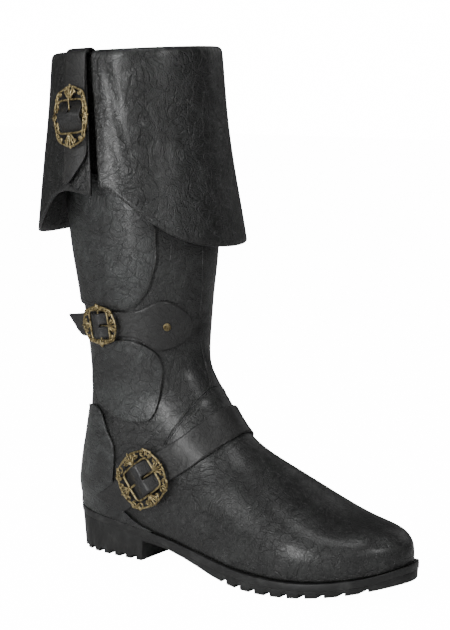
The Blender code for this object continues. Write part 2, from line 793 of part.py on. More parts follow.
# Straps. A route is places along the middle of a strap on its surface; a strap table holds
# distances from the buckle's middle and the reach to either edge as shares of half the width.
class Surface:
    """A place (two numbers) to a point, and its outward direction."""

    def __init__(self, point):
        self.point = point

    def normal(self, place):
        return self.point(place, 1.0) - self.point(place, 0.0)

    def beside(self, place, direction, distance, steps=4):
        """Place reached by walking a distance across the surface in a direction."""
        place = np.array(place, float)
        for _ in range(steps):
            here = self.point(tuple(place), 0.0)
            reach = 0.02
            one = (self.point((place[0] + reach, place[1]), 0.0) - here) / reach
            two = (self.point((place[0], place[1] + reach), 0.0) - here) / reach
            grid = np.stack([one, two], axis=1)
            normal = self.normal(tuple(place))
            flat = direction - normal * float(direction @ normal)
            flat = flat / np.linalg.norm(flat)
            change = np.linalg.lstsq(grid, flat * distance / steps, rcond=None)[0]
            place = place + change
        return tuple(place)


FOOT_SKIN = Surface(lambda place, height: off_skin(place[0], place[1], height))
CUFF_SKIN = Surface(lambda place, height: cuff_point(place, CUFF_WALL / 2 + height))


def route_lengths(surface, route):
    points = [surface.point(place, 0.0) for place in route]
    steps = [np.linalg.norm(b - a) for a, b in zip(points, points[1:])]
    return np.concatenate([[0.0], np.cumsum(steps)])


ROUTE_SAMPLES = 120


def fine_route(rows, count):
    rows = np.array(rows, float)
    knots = np.arange(len(rows))
    return [tuple(hermite(knots, rows, at)) for at in np.linspace(0, len(rows) - 1, count)]


def route_place(route, lengths, distance):
    """Place at a distance along a route, carried on past either end."""
    low = int(np.clip(np.searchsorted(lengths, distance) - 1, 0, len(route) - 2))
    share = (distance - lengths[low]) / (lengths[low + 1] - lengths[low])
    first, second = np.array(route[low]), np.array(route[low + 1])
    return tuple(first + (second - first) * share)


STRAP_ACROSS = (-1.0, -0.56, -0.12, 0.12, 0.56, 1.0)
HUMP_HALF = 0.0027
HUMP_RISE = FRAME_STANDOFF + FRAME_THICKNESS / 2 + PRONG_DIAMETER + 3 * FIT_GAP - PANEL_GAP


def window_half(length):
    return length * WINDOW_SHARE / 2


WINDOW_SHARE = 0.50
SLOT_SHARE = 0.62
BEYOND_WINDOW = 0.0045
WINDOW_EASE = 0.0017


def buckle_rows(length):
    """Distances and lifts where a strap runs under the frame, over the bar and out again."""
    half = window_half(length)
    slot = HUMP_HALF + SLOT_SHARE * (half - HUMP_HALF)
    slope = (half - slot) / (half - HUMP_HALF)
    return [
        (-half - BEYOND_WINDOW, 0.0), (-half, 0.0), (-(half + HUMP_HALF) / 2, 0.5), (-HUMP_HALF, 1.0),
        (0.0, 1.0), (HUMP_HALF, 1.0), (slot, slope), (half, 0.0), (half + BEYOND_WINDOW, 0.0),
    ]


def strap(name, surface, rows, buckle_at, toward_root, length, width, stand, table, look):
    """Strap along a route. table: distance from the buckle, low and high reach, lift; the rows
    at the buckle itself come from the frame's length."""
    route = fine_route(rows, ROUTE_SAMPLES)
    lengths = route_lengths(surface, route)
    stations = [row for row in table if abs(row[0]) > window_half(length) + BEYOND_WINDOW]
    for distance, lift in buckle_rows(length):
        distance = distance * toward_root
        reach = np.interp(distance, [row[0] for row in table], [row[1] for row in table])
        other = np.interp(distance, [row[0] for row in table], [row[2] for row in table])
        base = np.interp(distance, [row[0] for row in table], [row[3] for row in table])
        rise = HUMP_RISE + stand - base if lift > 0 else 0.0
        stations.append((distance, reach, other, base + lift * rise))
    stations.sort()
    sheet = []
    lifts = {}
    for distance, low, high, lift in stations:
        place = route_place(route, lengths, buckle_at + distance)
        before = surface.point(route_place(route, lengths, buckle_at + distance - 0.002), 0.0)
        after = surface.point(route_place(route, lengths, buckle_at + distance + 0.002), 0.0)
        across = np.cross(surface.normal(place), after - before)
        across = across / np.linalg.norm(across)
        line = []
        for share in STRAP_ACROSS:
            side = (high * (1 + share) - low * (1 - share)) * width / 4
            spot = surface.beside(place, across, side) if abs(side) > 1e-9 else place
            lifts[spot] = lift
            line.append(spot)
        sheet.append(line)
    distances = [row[0] for row in stations]
    slot = distances.index(HUMP_HALF) if toward_root > 0 else distances.index(-HUMP_HALF) - 1
    return shell(
        name,
        [sheet],
        lambda place: surface.point(place, PANEL_GAP + lifts[place]),
        lambda place: surface.point(place, PANEL_GAP + lifts[place] + STRAP_THICKNESS),
        look,
        skip={(0, slot, 2)},
    )


# Places are (along, around) on the foot and leg.
CALF_ROUTE = (
    (27.50, -0.900),
    (27.33, -0.800),
    (27.20, -0.705),
    (27.11, -0.649),
    (27.01, -0.596),
    (26.71, -0.479),
    (26.37, -0.390),
    (25.94, -0.308),
    (25.28, -0.217),
    (24.75, -0.150),
    (24.30, -0.100),
)
CALF_BUCKLE_PLACE = (26.96, -0.582)
CALF_STAND = 0.0005
CALF_STRAP = (
    # distance, low, high, lift
    (-0.0340, -0.85, 1.00, 0.0105),
    (-0.0300, -0.10, 1.00, 0.0078),
    (-0.0265, 0.75, 1.00, 0.0052),
    (-0.0240, 1.00, 1.00, 0.0034),
    (-0.0150, 1.00, 1.00, 0.0004),
    (-0.0120, 1.00, 1.00, 0.0000),
    (0.0000, 1.00, 1.00, 0.0000),
    (0.0200, 1.02, 1.00, 0.0000),
    (0.0290, 1.10, 1.05, 0.0000),
    (0.0370, 1.45, 1.35, 0.0000),
    (0.0430, 1.90, 1.85, 0.0000),
    (0.0485, 2.15, 2.15, 0.0000),
    (0.0550, 2.05, 2.05, 0.0000),
    (0.0620, 1.75, 1.75, 0.0000),
    (0.0680, 1.35, 1.30, 0.0000),
    (0.0725, 0.80, 0.75, 0.0000),
    (0.0745, 0.30, 0.28, 0.0000),
)

ANKLE_ROUTE = (
    (16.60, -0.930),
    (16.20, -0.790),
    (15.83, -0.690),
    (15.26, -0.545),
    (14.77, -0.434),
    (14.36, -0.313),
    (14.05, -0.194),
    (13.85, -0.080),
    (13.80, 0.000),
    (13.85, 0.080),
    (14.05, 0.194),
    (14.36, 0.313),
    (14.77, 0.434),
    (15.26, 0.545),
    (15.83, 0.690),
    (16.20, 0.790),
    (16.60, 0.930),
)
ANKLE_BUCKLE_PLACE = (15.69, -0.653)
ANKLE_STAND = 0.0021
ANKLE_STRAP = (
    # distance, low, high, lift
    (-0.0565, -0.90, 1.00, 0.0019),
    (-0.0480, -0.10, 1.00, 0.0019),
    (-0.0390, 0.90, 1.00, 0.0019),
    (-0.0330, 1.00, 1.00, 0.0019),
    (-0.0200, 1.00, 1.00, 0.0019),
    (-0.0120, 1.00, 1.00, 0.0017),
    (0.0000, 1.00, 1.00, 0.0014),
    (0.0190, 1.00, 1.00, 0.0008),
    (0.0260, 1.00, 1.00, 0.0004),
    (0.0330, 1.00, 1.00, 0.0001),
    (0.0410, 1.00, 1.00, 0.0001),
    (0.0490, 1.00, 1.00, 0.0001),
    (0.0560, 1.00, 1.00, 0.0001),
    (0.0630, 1.00, 1.00, 0.0001),
    (0.0700, 1.00, 1.00, 0.0001),
    (0.0770, 1.00, 1.00, 0.0001),
    (0.0840, 1.00, 1.00, 0.0004),
    (0.0920, 1.00, 1.00, 0.0005),
    (0.1010, 1.00, 1.00, 0.0004),
    (0.1110, 1.00, 1.00, 0.0001),
    (0.1220, 1.00, 1.00, 0.0001),
    (0.1330, 1.00, 1.00, 0.0001),
)

CUFF_ROUTE = (
    (-0.552, -0.80),
    (-0.552, -0.30),
    (-0.552, 0.00),
    (-0.552, 0.25),
    (-0.552, 0.50),
    (-0.552, 0.75),
    (-0.552, 1.00),
    (-0.560, 1.15),
    (-0.565, 1.30),
    (-0.562, 1.45),
    (-0.560, 1.60),
    (-0.560, 1.75),
)
CUFF_BUCKLE_PLACE = (-0.565, 1.292)
CUFF_STAND = 0.0016
# The rows in which the strap turns over the rim come from the fold itself.
CUFF_FOLD_PLACES = (1.0, 0.83, 0.67, 0.5, 0.33, 0.17, 0.0, -0.30, -0.65)
CUFF_STRAP = (
    # distance, low, high, lift
    (-0.0300, 1.00, 1.00, 0.0000),
    (-0.0180, 1.00, 1.00, 0.0000),
    (0.0000, 1.00, 1.00, 0.0000),
    (0.0180, 1.00, 1.00, 0.0000),
    (0.0250, 1.00, 1.00, 0.0002),
    (0.0310, 1.00, 0.95, 0.0008),
    (0.0380, 1.00, 0.45, 0.0016),
    (0.0450, 1.00, -0.15, 0.0024),
    (0.0500, 1.00, -0.60, 0.0030),
)


def distance_to(surface, rows, place):
    """Distance along a route to the spot nearest to a place."""
    route = fine_route(rows, ROUTE_SAMPLES)
    lengths = route_lengths(surface, route)
    target = surface.point(place, 0.0)
    gaps = [np.linalg.norm(surface.point(spot, 0.0) - target) for spot in route]
    nearest = int(np.argmin(gaps))
    return lengths[nearest], route[nearest]


# Buckles: turn runs from the strap's direction to across it, reach is a share of the half sizes.
FRAME_LOBES = (
    # turn in degrees, reach
    (0, 1.00),
    (14, 0.96),
    (24, 0.90),
    (36, 1.04),
    (48, 1.06),
    (60, 0.98),
    (72, 0.92),
    (82, 0.97),
    (90, 1.00),
)
FRAME_POINTS = 32
CROWN_OUTER = 0.72
CROWN_INNER = 0.30
BAR_REACH = 0.86
PRONG_SIDES = 6
PRONG_TIP = 0.0012


def frame_line(half_length, half_width, squareness, lobed):
    line = []
    for k in range(FRAME_POINTS):
        turn = 2 * math.pi * k / FRAME_POINTS
        quarter = math.degrees(math.atan2(abs(math.sin(turn)), abs(math.cos(turn))))
        reach = float(hermite(column(FRAME_LOBES, 0), column(FRAME_LOBES, 1), quarter)) if lobed else 1.0
        power = 2 / squareness
        x = half_length * math.copysign(abs(math.cos(turn)) ** power, math.cos(turn))
        y = half_width * math.copysign(abs(math.sin(turn)) ** power, math.sin(turn))
        line.append((x * reach, y * reach))
    return line


def buckle(name, surface, rows, place, toward_root, length, width, strap_width, base):
    at, spot = distance_to(surface, rows, place)
    route = fine_route(rows, ROUTE_SAMPLES)
    lengths = route_lengths(surface, route)
    before = surface.point(route_place(route, lengths, at - 0.006), 0.0)
    after = surface.point(route_place(route, lengths, at + 0.006), 0.0)
    ahead = (after - before) / np.linalg.norm(after - before) * toward_root
    normal = surface.normal(spot)
    normal = normal - ahead * float(normal @ ahead)
    normal = normal / np.linalg.norm(normal)
    side = np.cross(normal, ahead)
    centre = surface.point(spot, 0.0)

    def local(x, y, z):
        return centre + ahead * x + side * y + normal * (z + base)

    outer = frame_line(length / 2, width / 2, 2.4, True)
    window_length = window_half(length) - FIT_GAP
    window_width = strap_width / 2 + WINDOW_EASE
    inner = frame_line(window_length, window_width, 7.0, False)
    low, high = FRAME_STANDOFF, FRAME_STANDOFF + FRAME_THICKNESS
    middle = (low + high) / 2
    mesh = bmesh.new()
    rings = []
    for share, rise in ((1.0, low), (1.0, middle), (CROWN_OUTER, high), (CROWN_INNER, high)):
        ring = []
        for far, near in zip(outer, inner):
            ring.append(mesh.verts.new(local(
                near[0] + (far[0] - near[0]) * share, near[1] + (far[1] - near[1]) * share, rise)))
        rings.append(ring)
    for rise in (middle, low):
        rings.append([mesh.verts.new(local(near[0], near[1], rise)) for near in inner])
    count = FRAME_POINTS
    for r in range(len(rings)):
        first, second = rings[r], rings[(r + 1) % len(rings)]
        for k in range(count):
            m = (k + 1) % count
            face = (first[k], first[m], second[m], second[k])
            if r == 4 and k in (count // 4 - 1, 3 * count // 4 - 1, count // 4, 3 * count // 4):
                continue
            mesh.faces.new(face)
    quarter = count // 4
    upper_ring, lower_ring = rings[4], rings[5]
    left = [upper_ring[quarter - 1], upper_ring[quarter], upper_ring[quarter + 1],
            lower_ring[quarter + 1], lower_ring[quarter], lower_ring[quarter - 1]]
    right = [upper_ring[3 * quarter + 1], upper_ring[3 * quarter], upper_ring[3 * quarter - 1],
             lower_ring[3 * quarter - 1], lower_ring[3 * quarter], lower_ring[3 * quarter + 1]]
    bar = []
    for end in (1.0, -1.0):
        ring = []
        for x, rise in ((1, middle), (0, middle), (-1, middle), (-1, low), (0, low), (1, low)):
            ring.append(mesh.verts.new(local(x * BAR_WIDTH / 2, end * window_width * BAR_REACH, rise)))
        bar.append(ring)
    for first, second in ((left, bar[0]), (bar[0], bar[1]), (bar[1], right)):
        for k in range(6):
            m = (k + 1) % 6
            mesh.faces.new((first[k], first[m], second[m], second[k]))
    finish_object(name + "_buckle", mesh, BRASS)

    # The prong hooks over the bar, comes up through the strap's slot and rests on the frame.
    radius = PRONG_DIAMETER / 2
    over = middle + FIT_GAP / 2 + radius
    rest = high + FIT_GAP / 2 + radius
    beside_bar = BAR_WIDTH / 2 + FIT_GAP + radius
    line = (
        (-beside_bar, low + radius), (-beside_bar, over - 0.3 * radius), (-beside_bar * 0.6, over),
        (0.0, over), (beside_bar, over), (window_length * 0.75, rest - 0.2 * radius),
        (window_length + PRONG_TIP, rest), (length / 2 - 2 * PRONG_TIP, rest), (length / 2 - PRONG_TIP, rest),
    )
    mesh = bmesh.new()
    rings = []
    for k, (x, z) in enumerate(line):
        x0, z0 = line[max(k - 1, 0)]
        x1, z1 = line[min(k + 1, len(line) - 1)]
        size = math.hypot(x1 - x0, z1 - z0)
        up = (-(z1 - z0) / size, (x1 - x0) / size)
        thick = radius * (0.7 if k == len(line) - 1 else 1.0)
        ring = []
        for m in range(PRONG_SIDES):
            turn = 2 * math.pi * m / PRONG_SIDES
            y = thick * math.cos(turn)
            h = thick * math.sin(turn)
            ring.append(mesh.verts.new(local(x + up[0] * h, y, z + up[1] * h)))
        rings.append(ring)
    for first, second in zip(rings, rings[1:]):
        for k in range(PRONG_SIDES):
            m = (k + 1) % PRONG_SIDES
            mesh.faces.new((first[k], first[m], second[m], second[k]))
    mesh.faces.new(rings[0])
    mesh.faces.new(list(reversed(rings[-1])))
    finish_object(name + "_prong", mesh, BRASS)
    return at


calf_at = buckle(
    "calf", FOOT_SKIN, CALF_ROUTE, CALF_BUCKLE_PLACE, 1.0,
    CALF_BUCKLE_LENGTH, CALF_BUCKLE_WIDTH, CALF_STRAP_WIDTH, CALF_STAND,
)
strap(
    "calf_strap", FOOT_SKIN, CALF_ROUTE, calf_at, 1.0,
    CALF_BUCKLE_LENGTH, CALF_STRAP_WIDTH, CALF_STAND, CALF_STRAP, STRAP_LEATHER,
)
ankle_at = buckle(
    "ankle", FOOT_SKIN, ANKLE_ROUTE, ANKLE_BUCKLE_PLACE, 1.0,
    ANKLE_BUCKLE_LENGTH, ANKLE_BUCKLE_WIDTH, ANKLE_STRAP_WIDTH, ANKLE_STAND,
)
strap(
    "ankle_strap", FOOT_SKIN, ANKLE_ROUTE, ankle_at, 1.0,
    ANKLE_BUCKLE_LENGTH, ANKLE_STRAP_WIDTH, ANKLE_STAND, ANKLE_STRAP, STRAP_LEATHER,
)
cuff_at = buckle(
    "cuff", CUFF_SKIN, CUFF_ROUTE, CUFF_BUCKLE_PLACE, -1.0,
    CUFF_BUCKLE_LENGTH, CUFF_BUCKLE_WIDTH, CUFF_STRAP_WIDTH, CUFF_STAND,
)
cuff_turn = tuple(
    (distance_to(CUFF_SKIN, CUFF_ROUTE, (CUFF_ROUTE[0][0], along))[0] - cuff_at, 1.0, 1.0, 0.0)
    for along in CUFF_FOLD_PLACES
)
strap(
    "cuff_strap", CUFF_SKIN, CUFF_ROUTE, cuff_at, -1.0,
    CUFF_BUCKLE_LENGTH, CUFF_STRAP_WIDTH, CUFF_STAND, cuff_turn[::-1] + CUFF_STRAP, STRAP_LEATHER,
)

# Rivet head on the anchor of the calf strap.
RIVET_PLACE = (25.28, -0.217)
rivet_normal = FOOT_SKIN.normal(RIVET_PLACE)
rivet_base = off_skin(*RIVET_PLACE, PANEL_GAP + STRAP_THICKNESS + FIT_GAP)
rivet_side = np.cross(rivet_normal, [0.0, 0.0, 1.0])
rivet_side = rivet_side / np.linalg.norm(rivet_side)
rivet_up = np.cross(rivet_side, rivet_normal)
mesh = bmesh.new()
rings = []
for reach, rise in ((1.0, 0.0), (1.0, 0.45), (0.80, 0.85), (0.40, 1.0)):
    ring = []
    for k in range(12):
        turn = 2 * math.pi * k / 12
        spoke = rivet_side * math.cos(turn) + rivet_up * math.sin(turn)
        ring.append(mesh.verts.new(
            rivet_base + spoke * reach * RIVET_DIAMETER / 2 + rivet_normal * rise * RIVET_HEIGHT))
    rings.append(ring)
for first, second in zip(rings, rings[1:]):
    for k in range(12):
        m = (k + 1) % 12
        mesh.faces.new((first[k], first[m], second[m], second[k]))
mesh.faces.new(rings[0])
mesh.faces.new(rings[-1])
finish_object("strap_rivet", mesh, BRASS)
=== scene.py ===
"""Looks of a tall cuffed boot with three buckled straps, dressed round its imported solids.

Every piece starts from the solid it stands for: the leather is smoothed and creased, the metal
gets its scrollwork and the rubber its worn edges. Places are in metres in the boot's own frame:
the heel's middle on the floor is the origin, the toe points along +X and the outer side is -Y.
"""
import math

import bmesh
import bpy
import numpy as np
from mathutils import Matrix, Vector
from mathutils.bvhtree import BVHTree


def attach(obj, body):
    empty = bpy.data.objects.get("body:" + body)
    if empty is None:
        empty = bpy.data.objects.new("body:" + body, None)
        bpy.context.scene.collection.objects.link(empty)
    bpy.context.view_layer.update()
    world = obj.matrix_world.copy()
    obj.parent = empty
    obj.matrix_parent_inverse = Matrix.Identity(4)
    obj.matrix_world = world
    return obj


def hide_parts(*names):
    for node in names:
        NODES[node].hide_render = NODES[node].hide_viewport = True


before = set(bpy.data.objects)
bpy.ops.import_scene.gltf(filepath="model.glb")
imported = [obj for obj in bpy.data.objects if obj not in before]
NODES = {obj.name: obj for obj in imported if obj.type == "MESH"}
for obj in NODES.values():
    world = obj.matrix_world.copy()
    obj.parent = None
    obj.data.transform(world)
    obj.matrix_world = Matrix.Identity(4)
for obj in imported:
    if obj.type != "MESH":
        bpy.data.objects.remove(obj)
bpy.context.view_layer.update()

SHAFT_HEIGHT = 0.3947
CUFF_DEPTH = 0.153
LEG_MIDDLE = 0.022
FOOT_END = 0.21
FOOT_MIDDLE_HEIGHT = 0.045
SMOOTH_LEVELS = 2
WELD_DISTANCE = 0.000004
PAIR_ANGLE = math.radians(40)
PAIR_SHAPE = math.radians(60)
HELD_EDGE_ANGLE = math.radians(48)
RIM_ANGLE = math.radians(55)
SHADING_ANGLE = math.radians(35)


# Shader maths. A Shade is one value in a material's tree; sums and products of Shades add nodes.
class Shade:
    def __init__(self, tree, socket):
        self.tree = tree
        self.socket = socket

    def maths(self, operation, *values):
        node = self.tree.nodes.new("ShaderNodeMath")
        node.operation = operation
        for slot, value in zip(node.inputs, values):
            if isinstance(value, Shade):
                self.tree.links.new(value.socket, slot)
            else:
                slot.default_value = value
        return Shade(self.tree, node.outputs[0])

    def via(self, kind, output=0, **given):
        """Another kind of node. Names in given are its sockets or its own settings."""
        node = self.tree.nodes.new(kind)
        for name, value in given.items():
            label = name.replace("_", " ").title()
            if label in node.inputs:
                slot = [s for s in node.inputs if s.name == label and s.enabled][0]
                if isinstance(value, Shade):
                    self.tree.links.new(value.socket, slot)
                else:
                    slot.default_value = value
            else:
                setattr(node, name, value)
        return Shade(self.tree, node.outputs[output])

    def __add__(self, other):
        return self.maths("ADD", self, other)

    def __radd__(self, other):
        return self.maths("ADD", other, self)

    def __sub__(self, other):
        return self.maths("SUBTRACT", self, other)

    def __rsub__(self, other):
        return self.maths("SUBTRACT", other, self)

    def __mul__(self, other):
        return self.maths("MULTIPLY", self, other)

    def __rmul__(self, other):
        return self.maths("MULTIPLY", other, self)

    def ramp(self, low, high):
        """0 below low, 1 above high and smooth between them."""
        return self.via(
            "ShaderNodeMapRange", value=self, interpolation_type="SMOOTHSTEP",
            from_min=low, from_max=high,
        )


def colour_mix(share, first, second):
    """Colour between two, each an RGB tuple or a Shade."""
    node = share.tree.nodes.new("ShaderNodeMix")
    node.data_type = "RGBA"
    share.tree.links.new(share.socket, node.inputs[0])
    for slot, value in ((node.inputs[6], first), (node.inputs[7], second)):
        if isinstance(value, Shade):
            share.tree.links.new(value.socket, slot)
        else:
            slot.default_value = (*value, 1.0)
    return Shade(share.tree, node.outputs[2])


def new_material(name):
    """Material, its Principled shader and the object's coordinates as a Shade."""
    made = bpy.data.materials.new(name)
    made.use_nodes = True
    tree = made.node_tree
    place = tree.nodes.new("ShaderNodeTexCoord")
    return made, tree.nodes["Principled BSDF"], Shade(tree, place.outputs["Object"])


def plug(shade, shader, name):
    shade.tree.links.new(shade.socket, shader.inputs[name])


# Leather: black, distressed and crackled. A broad wear pattern lightens it, short creases run
# across it in one direction with painted shade in them, a finer network of cracks lies between them and a
# fine grain over all.
SWAY_SCALE = 38.0
SWAY_SHARE = 0.030
CREASE_SCALE = 150.0
CRACK_SCALE = 430.0
BROAD_SCALE = 30.0
PATCH_SCALE = 85.0
GRAIN_SCALE = 1400.0
LEATHER_RELIEF = 0.00080
POLISH = 0.22
POLISH_ROUGHNESS = 0.24


def leather(name, dark, worn, wear, gloss, turn=(0.0, 0.0, 0.0), stretch=(1.0, 1.0, 1.0), depth=1.0):
    made, shader, place = new_material(name)
    sway = place.via("ShaderNodeTexNoise", 1, vector=place, scale=SWAY_SCALE, detail=3.0)
    swayed = place.via("ShaderNodeMix", 1, data_type="VECTOR")
    mixer = swayed.socket.node
    mixer.inputs[0].default_value = SWAY_SHARE
    made.node_tree.links.new(place.socket, mixer.inputs[4])
    made.node_tree.links.new(sway.socket, mixer.inputs[5])
    turned = place.via("ShaderNodeMapping", vector=swayed, rotation=turn, scale=stretch)
    creases = place.via(
        "ShaderNodeTexVoronoi", 0, feature="DISTANCE_TO_EDGE", vector=turned, scale=CREASE_SCALE)
    cracks = place.via(
        "ShaderNodeTexVoronoi", 0, feature="DISTANCE_TO_EDGE", vector=swayed, scale=CRACK_SCALE)
    broad = place.via(
        "ShaderNodeTexNoise", 0, vector=turned, scale=BROAD_SCALE, detail=4.0, roughness=0.62)
    patchy = place.via(
        "ShaderNodeTexNoise", 0, vector=swayed, scale=PATCH_SCALE, detail=5.0, roughness=0.70)
    grain = place.via("ShaderNodeTexNoise", 0, vector=place, scale=GRAIN_SCALE, detail=2.0)
    crease_open = creases.ramp(0.0, 0.07)
    crack_open = cracks.ramp(0.0, 0.16)
    worn_patch = (broad * 0.55 + patchy * 0.60).ramp(0.50, 0.72)
    rubbed = worn_patch * (0.35 + 0.65 * crack_open) * wear
    tinted = colour_mix(broad.ramp(0.35, 0.65), dark, tuple(1.35 * part for part in dark))
    shade = colour_mix(rubbed, tinted, worn)
    # Painted shade: the crease lines are darkened halfway towards a deeper black, as if shade fell in
    # them.
    shade = colour_mix((1.0 - crease_open) * 0.50, shade, tuple(0.45 * part for part in dark))
    plug(shade, shader, "Base Color")
    rough = gloss + 0.18 * patchy - 0.10 * worn_patch + 0.10 * (1.0 - crack_open)
    plug(rough, shader, "Roughness")
    relief = crease_open * 0.34 + crack_open * 0.16 + patchy * 1.05 + grain * 0.12
    bump = place.via("ShaderNodeBump", height=relief, strength=0.95, distance=LEATHER_RELIEF * depth)
    plug(bump, shader, "Normal")
    shader.inputs["Specular IOR Level"].default_value = 0.55
    shader.inputs["Coat Weight"].default_value = POLISH
    shader.inputs["Coat Roughness"].default_value = POLISH_ROUGHNESS
    return made


UPPER_LEATHER = leather("upper_leather", (0.0060, 0.0064, 0.0061), (0.046, 0.050, 0.047), 0.42, 0.33)
CUFF_LEATHER = leather(
    "cuff_leather_creased", (0.0060, 0.0064, 0.0061), (0.046, 0.050, 0.048), 0.40, 0.27,
    turn=(0.0, math.radians(28), math.radians(20)), stretch=(1.0, 1.0, 0.34), depth=1.7,
)
PANEL_LEATHER = leather(
    "panel_leather_worn", (0.0085, 0.0092, 0.0090), (0.060, 0.067, 0.065), 0.55, 0.34,
    turn=(0.0, math.radians(-35), 0.0), stretch=(0.7, 1.0, 1.0),
)
STRAP_LEATHER = leather(
    "strap_leather_plain", (0.0068, 0.0069, 0.0066), (0.032, 0.033, 0.031), 0.30, 0.46, depth=0.7,
)


# Rubber: matte black, mould-grained, dusty grey where it rubs.
def rubber(name, dark, dusty, roughness):
    made, shader, place = new_material(name)
    cloud = place.via("ShaderNodeTexNoise", 0, vector=place, scale=60.0, detail=5.0, roughness=0.65)
    speck = place.via("ShaderNodeTexNoise", 0, vector=place, scale=900.0, detail=2.0)
    plug(colour_mix(cloud.ramp(0.48, 0.72), dark, dusty), shader, "Base Color")
    plug(roughness + 0.18 * cloud, shader, "Roughness")
    bump = place.via("ShaderNodeBump", height=speck * 0.5 + cloud, strength=0.5, distance=0.00025)
    plug(bump, shader, "Normal")
    return made


SOLE_RUBBER = rubber("sole_rubber_worn", (0.0080, 0.0083, 0.0081), (0.026, 0.027, 0.026), 0.46)
WELT_RUBBER = rubber("welt_rubber_worn", (0.0105, 0.0108, 0.0106), (0.034, 0.035, 0.034), 0.36)


# Antique brass: bright on the high spots, brown-black in the recesses.
def antique_brass():
    made, shader, place = new_material("antique_brass_worn")
    tarnish = place.via("ShaderNodeTexNoise", 0, vector=place, scale=420.0, detail=4.0, roughness=0.6)
    hollow = place.via("ShaderNodeNewGeometry", 7)
    high = hollow.ramp(0.46, 0.56)
    bright = colour_mix(tarnish.ramp(0.35, 0.65), (0.240, 0.185, 0.085), (0.420, 0.345, 0.185))
    plug(colour_mix((high * 0.85 + 0.15) * tarnish.ramp(0.25, 0.55), (0.030, 0.021, 0.009), bright),
         shader, "Base Color")
    plug(0.52 - 0.22 * high + 0.14 * tarnish, shader, "Roughness")
    shader.inputs["Metallic"].default_value = 0.92
    bump = place.via("ShaderNodeBump", height=tarnish, strength=0.5, distance=0.00018)
    plug(bump, shader, "Normal")
    return made


BRASS = antique_brass()


# Insole cloth: dark brown, finely woven.
def insole_cloth():
    made, shader, place = new_material("insole_cloth")
    weave = place.via("ShaderNodeTexNoise", 0, vector=place, scale=1100.0, detail=1.0)
    plug(colour_mix(weave.ramp(0.4, 0.6), (0.030, 0.026, 0.022), (0.060, 0.052, 0.043)),
         shader, "Base Color")
    shader.inputs["Roughness"].default_value = 0.9
    bump = place.via("ShaderNodeBump", height=weave, strength=0.5, distance=0.0002)
    plug(bump, shader, "Normal")
    return made


def add_object(name, data, look, slot, *nodes):
    """Object that rides on the boot's body, in place of the named solids if there are any."""
    made = bpy.data.objects.new(name, data)
    bpy.context.scene.collection.objects.link(made)
    data.materials.clear()
    data.materials.append(look)
    if nodes:
        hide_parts(*nodes)
    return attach(made, "root")


def merged_copy(node):
    """The solid's mesh with its split corners merged and its triangles paired."""
    mesh = bmesh.new()
    mesh.from_mesh(NODES[node].data)
    bmesh.ops.remove_doubles(mesh, verts=mesh.verts, dist=WELD_DISTANCE)
    bmesh.ops.join_triangles(
        mesh, faces=mesh.faces, angle_face_threshold=PAIR_ANGLE,
        angle_shape_threshold=PAIR_SHAPE,
    )
    return mesh


def smoothed(node, name, levels, look, slot, edge_hold=0.6):
    """Subdivided copy of a solid whose sharp rims stay crisp, as plain geometry."""
    mesh = merged_copy(node)
    hold = mesh.edges.layers.float.new("crease_edge")
    for edge in mesh.edges:
        if edge.is_manifold and edge.calc_face_angle() > HELD_EDGE_ANGLE:
            edge[hold] = edge_hold
    data = bpy.data.meshes.new(name)
    mesh.to_mesh(data)
    mesh.free()
    rough = bpy.data.objects.new(name + "_rough", data)
    bpy.context.scene.collection.objects.link(rough)
    smoother = rough.modifiers.new("smooth", "SUBSURF")
    smoother.levels = levels
    smoother.render_levels = levels
    graph = bpy.context.evaluated_depsgraph_get()
    fine = bpy.data.meshes.new_from_object(rough.evaluated_get(graph))
    bpy.data.objects.remove(rough, do_unlink=True)
    for polygon in fine.polygons:
        polygon.use_smooth = True
    return add_object(name, fine, look, slot, node)


def vertex_arrays(data):
    count = len(data.vertices)
    points = np.empty(count * 3)
    normals = np.empty(count * 3)
    data.vertices.foreach_get("co", points)
    data.vertices.foreach_get("normal", normals)
    return points.reshape(-1, 3), normals.reshape(-1, 3)


def distance_to_line(points, line):
    """Distance from each point to a line of points."""
    nearest = np.full(len(points), 1e9)
    for start, end in zip(line, line[1:]):
        along = end - start
        share = np.clip((points - start) @ along / float(along @ along), 0.0, 1.0)
        gap = np.linalg.norm(points - start - share[:, None] * along, axis=1)
        nearest = np.minimum(nearest, gap)
    return nearest


def press(piece, line, width, depth, outward):
    """Moves the skin in along a line, deepest on it and fading over a width."""
    points, normals = vertex_arrays(piece.data)
    gap = distance_to_line(points, np.array(line, float))
    facing = np.einsum("ij,ij->i", normals, outward(points)) > 0.2
    amount = depth * np.exp(-(gap / width) ** 2) * facing
    points -= normals * amount[:, None]
    piece.data.vertices.foreach_set("co", points.ravel())
    piece.data.update()


def leg_outward(points):
    """Direction away from the leg's middle line, level."""
    away = points - np.array([LEG_MIDDLE, 0.0, 0.0])
    away[:, 2] = 0.0
    return away / np.maximum(np.linalg.norm(away, axis=1), 1e-9)[:, None]


def foot_outward(points):
    """Direction away from the middle of the foot."""
    level = np.zeros(len(points))
    centre = np.stack([np.clip(points[:, 0], 0.0, FOOT_END), level, level + FOOT_MIDDLE_HEIGHT], axis=1)
    away = points - centre
    return away / np.maximum(np.linalg.norm(away, axis=1), 1e-9)[:, None]


